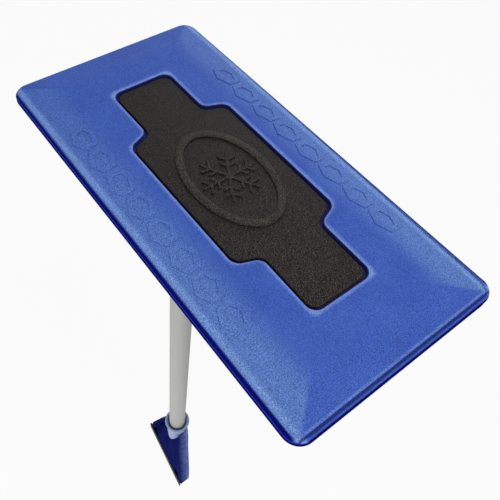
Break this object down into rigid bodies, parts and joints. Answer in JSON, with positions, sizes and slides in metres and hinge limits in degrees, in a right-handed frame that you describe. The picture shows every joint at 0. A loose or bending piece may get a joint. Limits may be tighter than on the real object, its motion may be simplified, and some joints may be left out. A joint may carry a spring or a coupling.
{
  "type": "snow broom",
  "caption": "Telescoping pole with a broad bevelled foam push head at one end, a twist lock in the middle and a flared ice scraper at the other end.",
  "frame": {"origin": "on the pole's axis at the middle of the hand's grip on the outer tube", "axes": "+Z along the pole towards the head's front face, X along the head's long side, the scraper's blade leans to -Y"},
  "size_m": [0.457, 0.229, 0.8156],
  "materials": {
    "eva_foam": "matte",
    "grained_eva": "matte",
    "black_plastic": "matte",
    "white_nylon": "satin",
    "painted_tube": "satin",
    "blue_plastic": "satin",
    "pale_blue_plastic": "satin",
    "zinc_steel": "satin"
  },
  "bodies": {
    "outer_pole": {"outer_tube": "painted_tube", "outer_end_plug": "black_plastic", "lock_body": "black_plastic", "lock_pin_1": "zinc_steel", "lock_pin_2": "zinc_steel", "lock_wedge": "white_nylon", "scraper_sleeve": "pale_blue_plastic", "sleeve_screw_1": "zinc_steel", "sleeve_screw_2": "zinc_steel", "scraper_body": "blue_plastic", "scraper_blade": "black_plastic", "blade_rivet_1": "zinc_steel", "blade_rivet_2": "zinc_steel", "blade_rivet_3": "zinc_steel"},
    "collar": {"lock_collar": "black_plastic"},
    "slider": {"guide_bush": "white_nylon"},
    "inner_pole": {"inner_tube": "painted_tube", "inner_top_plug": "black_plastic", "tube_foot": "black_plastic", "bush_screw": "zinc_steel", "button_spring": "zinc_steel", "foam_head": "eva_foam", "face_panel": "grained_eva", "core_plate": "black_plastic", "back_plate": "black_plastic", "plate_screw_1": "zinc_steel", "plate_screw_2": "zinc_steel", "plate_screw_3": "zinc_steel", "plate_screw_4": "zinc_steel", "plate_screw_5": "zinc_steel", "plate_screw_6": "zinc_steel"},
    "button": {"head_button": "zinc_steel"}
  },
  "joints": [
    {"name": "telescope", "type": "slide", "parent": "outer_pole", "child": "slider", "axis": [0, 0, 1], "range_m": [0, 0.443]},
    {"name": "head_swivel", "type": "hinge", "parent": "slider", "child": "inner_pole", "pos_m": [0, 0, 0], "axis": [0, 0, 1], "continuous": true},
    {"name": "lock_turn", "type": "hinge", "parent": "outer_pole", "child": "collar", "pos_m": [0, 0, 0.33], "axis": [0, 0, 1], "range_deg": [0, 120]},
    {"name": "button_press", "type": "slide", "parent": "inner_pole", "child": "button", "axis": [0, 1, 0], "range_m": [0, 0.005], "stiffness_N_per_m": 600, "springref_m": -0.003, "deforming": ["button_spring"]}
  ]
}
